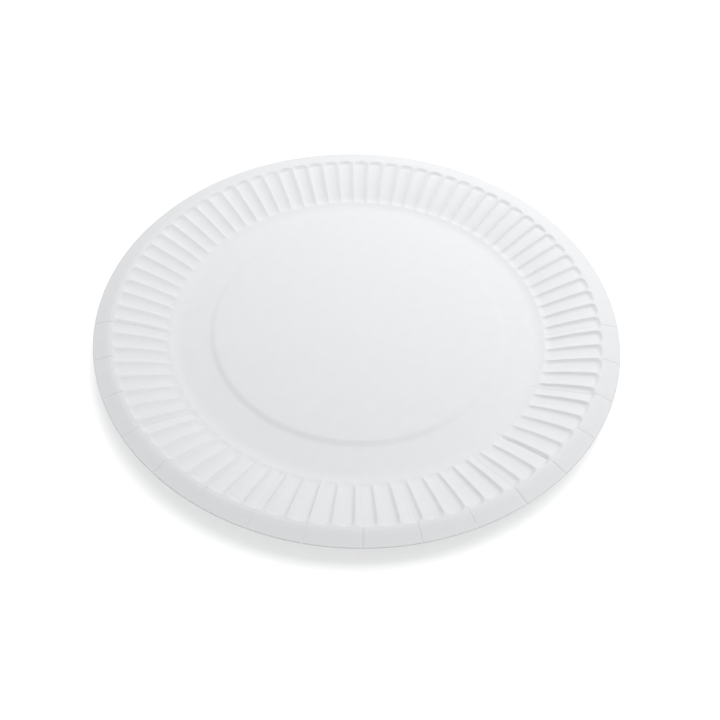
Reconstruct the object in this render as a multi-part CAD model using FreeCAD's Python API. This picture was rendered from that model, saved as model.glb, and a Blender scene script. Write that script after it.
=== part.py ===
"""A round paper plate, pressed from one disc of board, in millimetres.

The plate rests on z = 0 with its axis on Z. Its upper face is built as a shell,
the lower face is the same shell let down by the thickness of the board, and the
cut edge closes the two into one solid.
"""

import FreeCAD, Part
import math
import os

from FreeCAD import Vector

# Board and overall plan
BOARD = 0.4
SEAM_TOLERANCE = 0.0001
PLATE_RADIUS = 115.0

# Centre disc, raised above the ring that the plate rests on
DISC_RADIUS = 64.1
DISC_RISE = 0.6
STEP_WIDTH = 2.7

# Wall, steep at its foot and easing off towards the crown
FOOT_RADIUS = 82.0
WALL_RISE = 10.6
WALL_BULGE = 0.5

# Rim: a narrow flat crown, then a band that slopes down to the cut edge
CROWN_WIDTH = 2.0
RIM_WIDTH = 6.4
RIM_DROP = 1.0

# Flutes pressed into the wall. Each has a wide gentle side, a floor and a narrow steep side.
# The section's points give the share of its width, anticlockwise, and the share of its depth.
FLUTES = 81
FLUTE_DEPTH = 1.15
FLUTE_SECTION = ((0.0, 0.0), (0.18, 0.6), (0.42, 0.95), (0.82, 1.0), (1.0, 0.0))
FLUTE_FOOT_REACH = 2.0
FLUTE_BOW = 1.1
FLUTE_END_WALL = 1.1

# Score creases pressed across the front half of the rim band
CREASES = 17
CREASE_PITCH = math.radians(360.0 / 34.0)
CREASE_MIDDLE = math.radians(272.4)
CREASE_WIDTH = 0.5
CREASE_DEPTH = 0.15
CREASE_OVERRUN = 0.2

CROWN_RADIUS = PLATE_RADIUS - RIM_WIDTH
SHOULDER_RADIUS = CROWN_RADIUS - CROWN_WIDTH
CROWN_HEIGHT = BOARD + WALL_RISE
FLUTE_STEP = 2.0 * math.pi / FLUTES
UP = Vector(0, 0, 1)


def at(radius, angle, height):
    """Point at a radius and an angle, anticlockwise from +X."""
    return Vector(radius * math.cos(angle), radius * math.sin(angle), height)


def circle(radius, height):
    return Part.Edge(Part.Circle(Vector(0, 0, height), UP, radius))


def wall_height(radius):
    """Height of a crest, on a straight line from foot to crown plus a low bulge."""
    share = (radius - FOOT_RADIUS) / (SHOULDER_RADIUS - FOOT_RADIUS)
    return BOARD + WALL_RISE * share + WALL_BULGE * 4.0 * share * (1.0 - share)


def flute_curve(start, radius, height, bow=0.0, sink=0.0):
    """One flute's section from crest to crest, its low points moved out by bow and down by sink."""
    points = []
    for width_share, depth_share in FLUTE_SECTION:
        angle = start + width_share * FLUTE_STEP
        points.append(at(radius + bow * depth_share, angle, height - sink * depth_share))
    return [Part.Edge(Part.LineSegment(a, b)) for a, b in zip(points, points[1:])]


def foot_curve(start):
    return flute_curve(start, FOOT_RADIUS, BOARD, bow=FLUTE_FOOT_REACH)


def trough_curve(start, radius):
    return flute_curve(start, radius, wall_height(radius), sink=FLUTE_DEPTH)


def shoulder_curve(start):
    return flute_curve(start, SHOULDER_RADIUS, CROWN_HEIGHT, bow=FLUTE_BOW)


def flute_faces(start):
    """One flute: its trough in two lengths, and the steep wall at its outer end."""
    outer = SHOULDER_RADIUS - FLUTE_END_WALL
    curves = [
        foot_curve(start),
        trough_curve(start, (FOOT_RADIUS + outer) / 2.0),
        trough_curve(start, outer),
        shoulder_curve(start),
    ]
    faces = []
    for near, far in zip(curves, curves[1:]):
        faces += [Part.makeRuledSurface(a, b) for a, b in zip(near, far)]
    return faces


def outline(curve_of):
    """Closed wire of one curve to each flute."""
    edges = []
    for i in range(FLUTES):
        edges += curve_of(i * FLUTE_STEP)
    return Part.Wire(Part.__sortEdges__(edges))


def flat_ring(outer, inner):
    ring = Part.Face([outer, inner])
    ring.validate()
    return ring


def upper_faces():
    """Every upper face, from the raised disc out to the rim band."""
    disc_edge = circle(DISC_RADIUS, BOARD + DISC_RISE)
    ring_edge = circle(DISC_RADIUS + STEP_WIDTH, BOARD)
    crown_edge = circle(CROWN_RADIUS, CROWN_HEIGHT)
    rim_edge = circle(PLATE_RADIUS, CROWN_HEIGHT - RIM_DROP)
    faces = [
        Part.Face(Part.Wire([disc_edge])),
        Part.makeRuledSurface(disc_edge, ring_edge),
        flat_ring(outline(foot_curve), Part.Wire([ring_edge])),
        flat_ring(Part.Wire([crown_edge]), outline(shoulder_curve)),
        Part.makeRuledSurface(crown_edge, rim_edge),
    ]
    for i in range(FLUTES):
        faces += flute_faces(i * FLUTE_STEP)
    return faces


def pressed_sheet():
    """The whole plate as one closed solid, before the creases."""
    upper = upper_faces()
    lower = [face.translated(Vector(0, 0, -BOARD)) for face in upper]
    cut_edge = circle(PLATE_RADIUS, CROWN_HEIGHT - RIM_DROP).extrude(Vector(0, 0, -BOARD))
    skin = Part.Shape(Part.Compound(upper + lower + [cut_edge]))
    skin.sewShape(SEAM_TOLERANCE)
    solid = Part.Solid(skin.Shells[0])
    if solid.Volume < 0:
        solid.reverse()
    return solid


def crease_cutter(angle):
    """V groove along the rim band's slope; it runs out on the flat crown."""
    slope = math.atan2(RIM_DROP, RIM_WIDTH)
    along = Vector(math.cos(slope), 0, -math.sin(slope))
    square = Vector(math.sin(slope), 0, math.cos(slope))
    start = Vector(SHOULDER_RADIUS, 0, CROWN_HEIGHT + CROWN_WIDTH * math.tan(slope))
    half_width = CREASE_WIDTH / 2.0 * (1.0 + CREASE_OVERRUN / CREASE_DEPTH)
    side = Vector(0, half_width, 0)
    corners = [
        start - square * CREASE_DEPTH,
        start + square * CREASE_OVERRUN + side,
        start + square * CREASE_OVERRUN - side,
    ]
    section = Part.Face(Part.makePolygon(corners + corners[:1]))
    length = (CROWN_WIDTH + RIM_WIDTH) / math.cos(slope) + CREASE_OVERRUN
    return section.extrude(along * length).rotated(Vector(), UP, math.degrees(angle))


def creased(sheet):
    first = CREASE_MIDDLE - CREASE_PITCH * (CREASES - 1) / 2.0
    return sheet.cut([crease_cutter(first + i * CREASE_PITCH) for i in range(CREASES)])


plate = creased(pressed_sheet())
os.makedirs("parts", exist_ok=True)
plate.exportStep("parts/plate.step")
print("solids", len(plate.Solids), "valid", plate.isValid(), "volume", round(plate.Volume, 1))
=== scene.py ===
"""The looks of a pressed white paper plate, in metres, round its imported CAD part."""

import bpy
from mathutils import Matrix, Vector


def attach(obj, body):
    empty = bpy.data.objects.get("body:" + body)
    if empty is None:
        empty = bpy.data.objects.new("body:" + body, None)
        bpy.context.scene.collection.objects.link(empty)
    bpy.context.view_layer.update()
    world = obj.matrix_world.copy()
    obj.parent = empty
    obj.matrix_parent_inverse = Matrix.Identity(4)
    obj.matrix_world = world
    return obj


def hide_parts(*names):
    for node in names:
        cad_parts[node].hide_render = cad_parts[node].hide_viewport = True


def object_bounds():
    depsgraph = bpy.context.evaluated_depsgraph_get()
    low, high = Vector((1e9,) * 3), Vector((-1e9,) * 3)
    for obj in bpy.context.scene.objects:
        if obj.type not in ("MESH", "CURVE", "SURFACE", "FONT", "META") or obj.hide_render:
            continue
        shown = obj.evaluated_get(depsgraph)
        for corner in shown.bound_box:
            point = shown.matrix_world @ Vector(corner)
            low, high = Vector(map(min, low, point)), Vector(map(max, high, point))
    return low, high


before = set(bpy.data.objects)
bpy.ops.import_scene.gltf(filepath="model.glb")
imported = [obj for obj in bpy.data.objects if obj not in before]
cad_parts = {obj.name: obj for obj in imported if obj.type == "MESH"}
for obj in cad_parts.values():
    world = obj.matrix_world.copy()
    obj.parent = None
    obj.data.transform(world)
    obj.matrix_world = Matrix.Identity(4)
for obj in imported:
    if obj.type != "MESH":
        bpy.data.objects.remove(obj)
CAD_BOX = [list(corner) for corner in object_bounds()]

import math

import bpy
import numpy as np
from mathutils import Matrix, Vector

MM = 0.001
FULL_TURN = 2.0 * math.pi
SEED = 7

# Sizes of the board, in mm; the plate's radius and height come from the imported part
PLATE_RADIUS = (CAD_BOX[1][0] - CAD_BOX[0][0]) / 2.0 / MM
CROWN_HEIGHT = CAD_BOX[1][2] / MM
BOARD = 0.4

# Centre disc, whose top leans so that its step is highest on one side
DISC_RADIUS = 64.1
DISC_RISE = 0.55
DISC_TILT = 0.5
DISC_HIGH_SIDE = math.radians(245.0)
STEP_WIDTH = 3.5

# Wall, flat crown and sloping rim band, with a fillet at the wall's foot and at its top
FOOT_RADIUS = 82.0
FOOT_FILLET = 1.4
WALL_BULGE = 0.75
CROWN_WIDTH = 2.0
RIM_WIDTH = 6.4
RIM_DROP = 1.0
RIM_FILLET = 0.9
CROWN_RADIUS = PLATE_RADIUS - RIM_WIDTH
SHOULDER_RADIUS = CROWN_RADIUS - CROWN_WIDTH
RIM_SLOPE = RIM_DROP / RIM_WIDTH

# Flutes: each section has a wide gentle side and a narrow steep one, as shares of its width.
# The ends give the radii over which a flute fades in at the foot and out at the top.
FLUTES = 81
FLUTE_DEPTH = 1.4
DEPTH_VARIATION = 0.07
GENTLE_SIDE = 0.46
GENTLE_POWER = 1.6
STEEP_SIDE = 0.19
STEEP_POWER = 1.25
CREST_SOFTNESS = 0.018
CREST_SAMPLES = 5
INNER_END = (84.4, 87.4)
OUTER_END = (105.7, 107.4)
END_ROUNDING = 2.0
END_POWER = 3
LEAST_ROOM = 1e-6

# Creases: full depth on the rim band and a share of it on the wall. They fade in from
# CREASE_START, a little inside the foot.
CREASES = 17
CREASE_PITCH = math.radians(360.0 / 34.0)
CREASE_MIDDLE = math.radians(272.4)
CREASE_HALF_WIDTH = 0.3
CREASE_DEPTH = 0.3
CREASE_WALL_SHARE = 0.5
CREASE_START = 79.0
CREASE_RUN_IN = 6.0
CREASE_DEEPENING = 1.5

# Fine fold between the flutes and the rim band
FOLD_RADIUS = 107.9
FOLD_HALF_WIDTH = 0.3
FOLD_DEPTH = 0.1

# The cut edge stands up a little, as a shear leaves it, and its corners are taken off
EDGE_WIDTH = 0.7
EDGE_LIFT = 0.07
CORNER_IN = 0.12
CORNER_DOWN = 0.13

# Grid columns: shares of a flute's width, close together at its steep side, and shares of a
# crease's half width, laid out where the crease meets CREASE_GRID_RADIUS
FLUTE_COLUMNS = (0.0, 0.04, 0.11, 0.2, 0.31, 0.45, 0.62, 0.78, 0.85, 0.91, 0.96)
CREASE_COLUMNS = (-1.0, -0.5, 0.0, 0.5, 1.0)
CREASE_GRID_RADIUS = 110.0
LEAST_COLUMN_TURN = 1e-5


def smooth_max(a, b, blend):
    """The larger of two heights, with a fillet about blend wide where they meet."""
    h = np.clip(0.5 + 0.5 * (a - b) / blend, 0.0, 1.0)
    return b + (a - b) * h + blend * h * (1.0 - h)


def smooth_min(a, b, blend):
    """The smaller of two heights, with the same fillet."""
    return -smooth_max(-a, -b, blend)


def smooth_step(low, high, x):
    """Rises from 0 at low to 1 at high, level at both."""
    t = np.clip((x - low) / (high - low), 0.0, 1.0)
    return t * t * (3.0 - 2.0 * t)


def wall_profile(radius):
    """Crest line of the wall, rounded over into the rim band with its fold and edge."""
    share = (radius - FOOT_RADIUS) / (SHOULDER_RADIUS - FOOT_RADIUS)
    bulge = WALL_BULGE * 4.0 * share * (1.0 - share)
    wall = BOARD + (CROWN_HEIGHT - BOARD) * share + bulge
    band = CROWN_HEIGHT - np.maximum(radius - CROWN_RADIUS, 0.0) * RIM_SLOPE
    band = band + EDGE_LIFT * smooth_step(PLATE_RADIUS - EDGE_WIDTH, PLATE_RADIUS, radius)
    fold = FOLD_DEPTH * np.clip(1.0 - np.abs(radius - FOLD_RADIUS) / FOLD_HALF_WIDTH, 0.0, 1.0)
    return smooth_min(wall, band, RIM_FILLET) - fold


def base_profile(radius, angle):
    """Raised disc, a little higher towards one side, its rounded step, and the flat ring."""
    rise = DISC_RISE + DISC_TILT * radius / DISC_RADIUS * np.cos(angle - DISC_HIGH_SIDE)
    return BOARD + rise * (1.0 - smooth_step(DISC_RADIUS, DISC_RADIUS + STEP_WIDTH, radius))


def flute_section(share):
    """Depth share across a flute: gentle side, floor and steep side, with softened crests."""
    depth = np.zeros_like(share)
    shifts = np.linspace(-CREST_SOFTNESS, CREST_SOFTNESS, CREST_SAMPLES)
    for shift in shifts:
        place = np.mod(share + shift, 1.0)
        gentle = np.clip(1.0 - place / GENTLE_SIDE, 0.0, 1.0)
        steep = np.clip(1.0 - (1.0 - place) / STEEP_SIDE, 0.0, 1.0)
        depth += (1.0 - gentle ** GENTLE_POWER - steep ** STEEP_POWER) / len(shifts)
    return depth


def flute_ends(radius, share):
    """Fades a flute in at the foot and out at the top, where its end is rounded in plan."""
    inner = np.clip((INNER_END[1] - radius) / (INNER_END[1] - INNER_END[0]), 0.0, 1.0)
    reach = radius + END_ROUNDING * np.abs(2.0 * share - 1.0) ** END_POWER
    outer = np.clip((reach - OUTER_END[0]) / (OUTER_END[1] - OUTER_END[0]), 0.0, 1.0)
    return (1.0 - inner ** 2) * (1.0 - outer ** 2)


def crease_angles():
    """Angle of each crease, anticlockwise from +X."""
    first = CREASE_MIDDLE - CREASE_PITCH * (CREASES - 1) / 2.0
    return [first + i * CREASE_PITCH for i in range(CREASES)]


def crease_depth(radius, angle):
    """Depth of the V grooves at each point, in mm."""
    depth = np.zeros_like(radius)
    for middle in crease_angles():
        turn = np.arctan2(np.sin(angle - middle), np.cos(angle - middle))
        aside = np.abs(turn * radius) / CREASE_HALF_WIDTH
        depth = np.maximum(depth, np.clip(1.0 - aside, 0.0, 1.0))
    deepening = smooth_step(SHOULDER_RADIUS, SHOULDER_RADIUS + CREASE_DEEPENING, radius)
    reach = CREASE_WALL_SHARE + (1.0 - CREASE_WALL_SHARE) * deepening
    reach = reach * smooth_step(CREASE_START, CREASE_START + CREASE_RUN_IN, radius)
    return CREASE_DEPTH * reach * depth


def sheet_height(radius, angle, rng):
    """Height of the upper face at each point before the creases, in mm.

    A flute never cuts below the base: its hollow eases off as it uses up the room there.
    """
    turn = np.mod(angle, FULL_TURN) / FULL_TURN * FLUTES
    number = np.floor(turn).astype(int) % FLUTES
    depth = FLUTE_DEPTH * (1.0 + DEPTH_VARIATION * rng.standard_normal(FLUTES))[number]
    share = turn - np.floor(turn)
    hollow = depth * flute_section(share) * flute_ends(radius, share)
    base = base_profile(radius, angle)
    crests = smooth_max(wall_profile(radius), base, FOOT_FILLET)
    room = np.maximum(crests - base, LEAST_ROOM)
    return crests - room * (1.0 - np.exp(-hollow / room))


def column_angles():
    """Angles of the grid's columns, in order and without any that fall together."""
    angles = [(i + s) / FLUTES * FULL_TURN for i in range(FLUTES) for s in FLUTE_COLUMNS]
    for middle in crease_angles():
        angles += [middle + s * CREASE_HALF_WIDTH / CREASE_GRID_RADIUS for s in CREASE_COLUMNS]
    angles = np.sort(np.mod(angles, FULL_TURN))
    return angles[np.append(np.diff(angles) > LEAST_COLUMN_TURN, True)]


def row_radii():
    """Radii of the grid's rows, in mm, close together wherever the section bends."""
    disc = [30.0, 55.0]
    step = np.linspace(DISC_RADIUS - 0.3, DISC_RADIUS + STEP_WIDTH, 8)
    flat_ring = [73.0, 76.0]
    foot = np.linspace(78.0, 83.6, 6)
    inner_ends = np.linspace(84.4, 88.2, 8)
    wall = np.linspace(90.0, 102.5, 6)
    outer_ends = np.linspace(104.2, 107.4, 9)
    fold = FOLD_RADIUS + FOLD_HALF_WIDTH * np.array([-1.0, 0.0, 1.0])
    band = [CROWN_RADIUS + 0.1, 111.0, PLATE_RADIUS - EDGE_WIDTH]
    edge = PLATE_RADIUS - np.array([0.4, CORNER_IN])
    spans = [disc, step, flat_ring, foot, inner_ends, wall, outer_ends, fold, band, edge]
    return np.concatenate(spans)


def ring_faces(rings, count):
    """Quads between neighbouring rings of count points, and a fan to a centre at each end."""
    faces = []
    for i in range(rings - 1):
        near, far = i * count, (i + 1) * count
        for j in range(count):
            k = (j + 1) % count
            faces.append((near + j, far + j, far + k, near + k))
    last = (rings - 1) * count
    top_centre = rings * count
    bottom_centre = top_centre + 1
    for j in range(count):
        k = (j + 1) % count
        faces.append((top_centre, j, k))
        faces.append((bottom_centre, last + k, last + j))
    return faces


def plate_mesh():
    """The whole board as one closed mesh: upper face, cut edge and lower face."""
    rng = np.random.default_rng(SEED)
    angles = column_angles()
    grid_r, grid_a = np.meshgrid(row_radii(), angles, indexing="ij")
    sheet = sheet_height(grid_r, grid_a, rng)
    upper = sheet - crease_depth(grid_r, grid_a)
    rim = sheet[-1]
    edge = np.full(len(angles), PLATE_RADIUS)
    rings = list(zip(grid_r, upper))
    rings += [(edge, rim - CORNER_DOWN), (edge, rim - BOARD + CORNER_DOWN)]
    rings += list(zip(grid_r, sheet - BOARD))[::-1]
    points = [np.stack([r * np.cos(angles), r * np.sin(angles), z], axis=1) for r, z in rings]
    centre = BOARD + DISC_RISE
    points.append(np.array([[0.0, 0.0, centre], [0.0, 0.0, centre - BOARD]]))
    points = np.concatenate(points) * MM
    mesh = bpy.data.meshes.new("plate_board")
    mesh.from_pydata(points.tolist(), [], ring_faces(len(rings), len(angles)))
    mesh.shade_smooth()
    mesh.update()
    return mesh


# Board material: faint mottle between two tones, and fine fibres
BOARD_ROUGHNESS = 0.88
BOARD_SPECULAR = 0.25
MOTTLE_SCALE = 160.0
MOTTLE_DETAIL = 5.0
MOTTLE_TONES = ((0.3, (0.847, 0.853, 0.859, 1.0)), (0.7, (0.861, 0.867, 0.873, 1.0)))
FIBRE_SCALE = 1400.0
FIBRE_DETAIL = 3.0
FIBRE_DISTORTION = 1.5
FIBRE_STRENGTH = 0.25
FIBRE_HEIGHT = 0.00006


def set_inputs(node, values):
    """Sets a node's inputs from a dict of their names."""
    for name, value in values.items():
        node.inputs[name].default_value = value


def board_material():
    """Uncoated white board: faint fibres and a soft mottle, fully matt."""
    material = bpy.data.materials.new("white_paperboard")
    material.use_nodes = True
    nodes = material.node_tree.nodes
    links = material.node_tree.links
    shader = nodes["Principled BSDF"]
    set_inputs(shader, {"Roughness": BOARD_ROUGHNESS, "Specular IOR Level": BOARD_SPECULAR})
    place = nodes.new("ShaderNodeTexCoord")

    mottle = nodes.new("ShaderNodeTexNoise")
    set_inputs(mottle, {"Scale": MOTTLE_SCALE, "Detail": MOTTLE_DETAIL})
    links.new(place.outputs["Object"], mottle.inputs["Vector"])
    tone = nodes.new("ShaderNodeValToRGB")
    for element, (position, color) in zip(tone.color_ramp.elements, MOTTLE_TONES):
        element.position = position
        element.color = color
    links.new(mottle.outputs["Fac"], tone.inputs["Fac"])
    links.new(tone.outputs["Color"], shader.inputs["Base Color"])

    fibre = nodes.new("ShaderNodeTexNoise")
    set_inputs(
        fibre,
        {"Scale": FIBRE_SCALE, "Detail": FIBRE_DETAIL, "Distortion": FIBRE_DISTORTION},
    )
    links.new(place.outputs["Object"], fibre.inputs["Vector"])
    bump = nodes.new("ShaderNodeBump")
    set_inputs(bump, {"Strength": FIBRE_STRENGTH, "Distance": FIBRE_HEIGHT})
    links.new(fibre.outputs["Fac"], bump.inputs["Height"])
    links.new(bump.outputs["Normal"], shader.inputs["Normal"])
    return material


def dress_plate():
    """Puts the board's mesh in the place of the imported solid."""
    plate = bpy.data.objects.new("plate_board", plate_mesh())
    bpy.context.scene.collection.objects.link(plate)
    plate.data.materials.append(board_material())
    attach(plate, "root")
    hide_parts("plate")


# Camera, from the outline of the rim in the picture; its distance is in plate radii
IMAGE_SIZE = 720.0
FOCAL_PX = 750.0
ELEVATION = math.radians(50.644)
ROLL = math.radians(2.200)
DISTANCE = 2.9128
CENTRE_PX = (358.587, 308.267)
SENSOR_WIDTH = 36.0
CLIP_START = 0.01


def add_camera():
    """Camera in front of and above the plate, rolled a little.

    It stands so far aside that the rim's centre, at the height that its band ends at,
    lands at its pixel.
    """
    back = Vector((0.0, -math.cos(ELEVATION), math.sin(ELEVATION)))
    level = Vector((1.0, 0.0, 0.0))
    steep = back.cross(level)
    right = level * math.cos(ROLL) + steep * math.sin(ROLL)
    up = steep * math.cos(ROLL) - level * math.sin(ROLL)
    radius = PLATE_RADIUS * MM
    per_px = DISTANCE / FOCAL_PX
    aside = (CENTRE_PX[0] - IMAGE_SIZE / 2.0) * per_px
    above = -(CENTRE_PX[1] - IMAGE_SIZE / 2.0) * per_px
    rim_centre = Vector((0.0, 0.0, (CROWN_HEIGHT - RIM_DROP) * MM))
    data = bpy.data.cameras.new("camera")
    data.sensor_width = SENSOR_WIDTH
    data.lens = FOCAL_PX / IMAGE_SIZE * data.sensor_width
    data.clip_start = CLIP_START
    camera = bpy.data.objects.new("camera", data)
    turn = Matrix((right, up, back)).transposed().to_4x4()
    place = rim_centre + (back * DISTANCE - right * aside - up * above) * radius
    camera.matrix_world = Matrix.Translation(place) @ turn
    bpy.context.scene.collection.objects.link(camera)
    bpy.context.scene.camera = camera


# Light: a soft panel that hangs beyond the far right part of the rim, and a faint sky that
# is brightest overhead. Lengths are in metres.
PANEL_AZIMUTH = math.radians(55.0)
PANEL_ASIDE = 0.20
PANEL_HEIGHT = 0.44
PANEL_SIZE = 0.50
PANEL_WATTS = 1.97
SKY_STRENGTH = 0.43
SKY_TINT = (0.97, 0.985, 1.0)
SKY_HORIZON = 0.6


def add_light():
    """The panel, so near that the side away from it is darker, and the sky."""
    data = bpy.data.lights.new("panel", "AREA")
    data.energy = PANEL_WATTS
    data.size = PANEL_SIZE
    panel = bpy.data.objects.new("panel", data)
    aside = Vector((math.cos(PANEL_AZIMUTH), math.sin(PANEL_AZIMUTH), 0.0)) * PANEL_ASIDE
    panel.location = aside + Vector((0.0, 0.0, PANEL_HEIGHT))
    bpy.context.scene.collection.objects.link(panel)
    world = bpy.data.worlds.new("sky")
    world.use_nodes = True
    nodes = world.node_tree.nodes
    links = world.node_tree.links
    background = nodes["Background"]
    background.inputs["Strength"].default_value = SKY_STRENGTH
    direction = nodes.new("ShaderNodeTexCoord")
    parts = nodes.new("ShaderNodeSeparateXYZ")
    fade = nodes.new("ShaderNodeValToRGB")
    fade.color_ramp.elements[0].color = [SKY_HORIZON * value for value in SKY_TINT] + [1.0]
    fade.color_ramp.elements[1].color = SKY_TINT + (1.0,)
    links.new(direction.outputs["Generated"], parts.inputs["Vector"])
    links.new(parts.outputs["Z"], fade.inputs["Fac"])
    links.new(fade.outputs["Color"], background.inputs["Color"])
    bpy.context.scene.world = world


# Floor
FLOOR_HALF = 3.0
FLOOR_COLOR = (0.9, 0.9, 0.9, 1.0)
WHITE = (1.0, 1.0, 1.0, 1.0)
FLOOR_GLOW = 0.49


def floor_material():
    """White for the eye, with a glow that only seen rays meet, so that no light is added."""
    material = bpy.data.materials.new("white_table")
    material.use_nodes = True
    nodes = material.node_tree.nodes
    links = material.node_tree.links
    shader = nodes["Principled BSDF"]
    set_inputs(shader, {"Base Color": FLOOR_COLOR, "Roughness": 1.0})
    set_inputs(shader, {"Specular IOR Level": 0.0, "Emission Color": WHITE})
    path = nodes.new("ShaderNodeLightPath")
    seen = nodes.new("ShaderNodeMath")
    seen.operation = "MAXIMUM"
    through = nodes.new("ShaderNodeMath")
    through.operation = "MAXIMUM"
    glow = nodes.new("ShaderNodeMath")
    glow.operation = "MULTIPLY"
    glow.inputs[1].default_value = FLOOR_GLOW
    links.new(path.outputs["Is Camera Ray"], seen.inputs[0])
    links.new(path.outputs["Is Glossy Ray"], seen.inputs[1])
    links.new(seen.outputs["Value"], through.inputs[0])
    links.new(path.outputs["Is Transmission Ray"], through.inputs[1])
    links.new(through.outputs["Value"], glow.inputs[0])
    links.new(glow.outputs["Value"], shader.inputs["Emission Strength"])
    return material


def add_floor():
    """White table top, as wide as the view needs."""
    mesh = bpy.data.meshes.new("floor")
    signs = ((-1.0, -1.0), (1.0, -1.0), (1.0, 1.0), (-1.0, 1.0))
    corners = [(x * FLOOR_HALF, y * FLOOR_HALF, 0.0) for x, y in signs]
    mesh.from_pydata(corners, [], [(0, 1, 2, 3)])
    floor = bpy.data.objects.new("floor", mesh)
    bpy.context.scene.collection.objects.link(floor)
    mesh.materials.append(floor_material())


dress_plate()
add_camera()
add_light()
add_floor()
bpy.context.scene.view_settings.view_transform = "Standard"
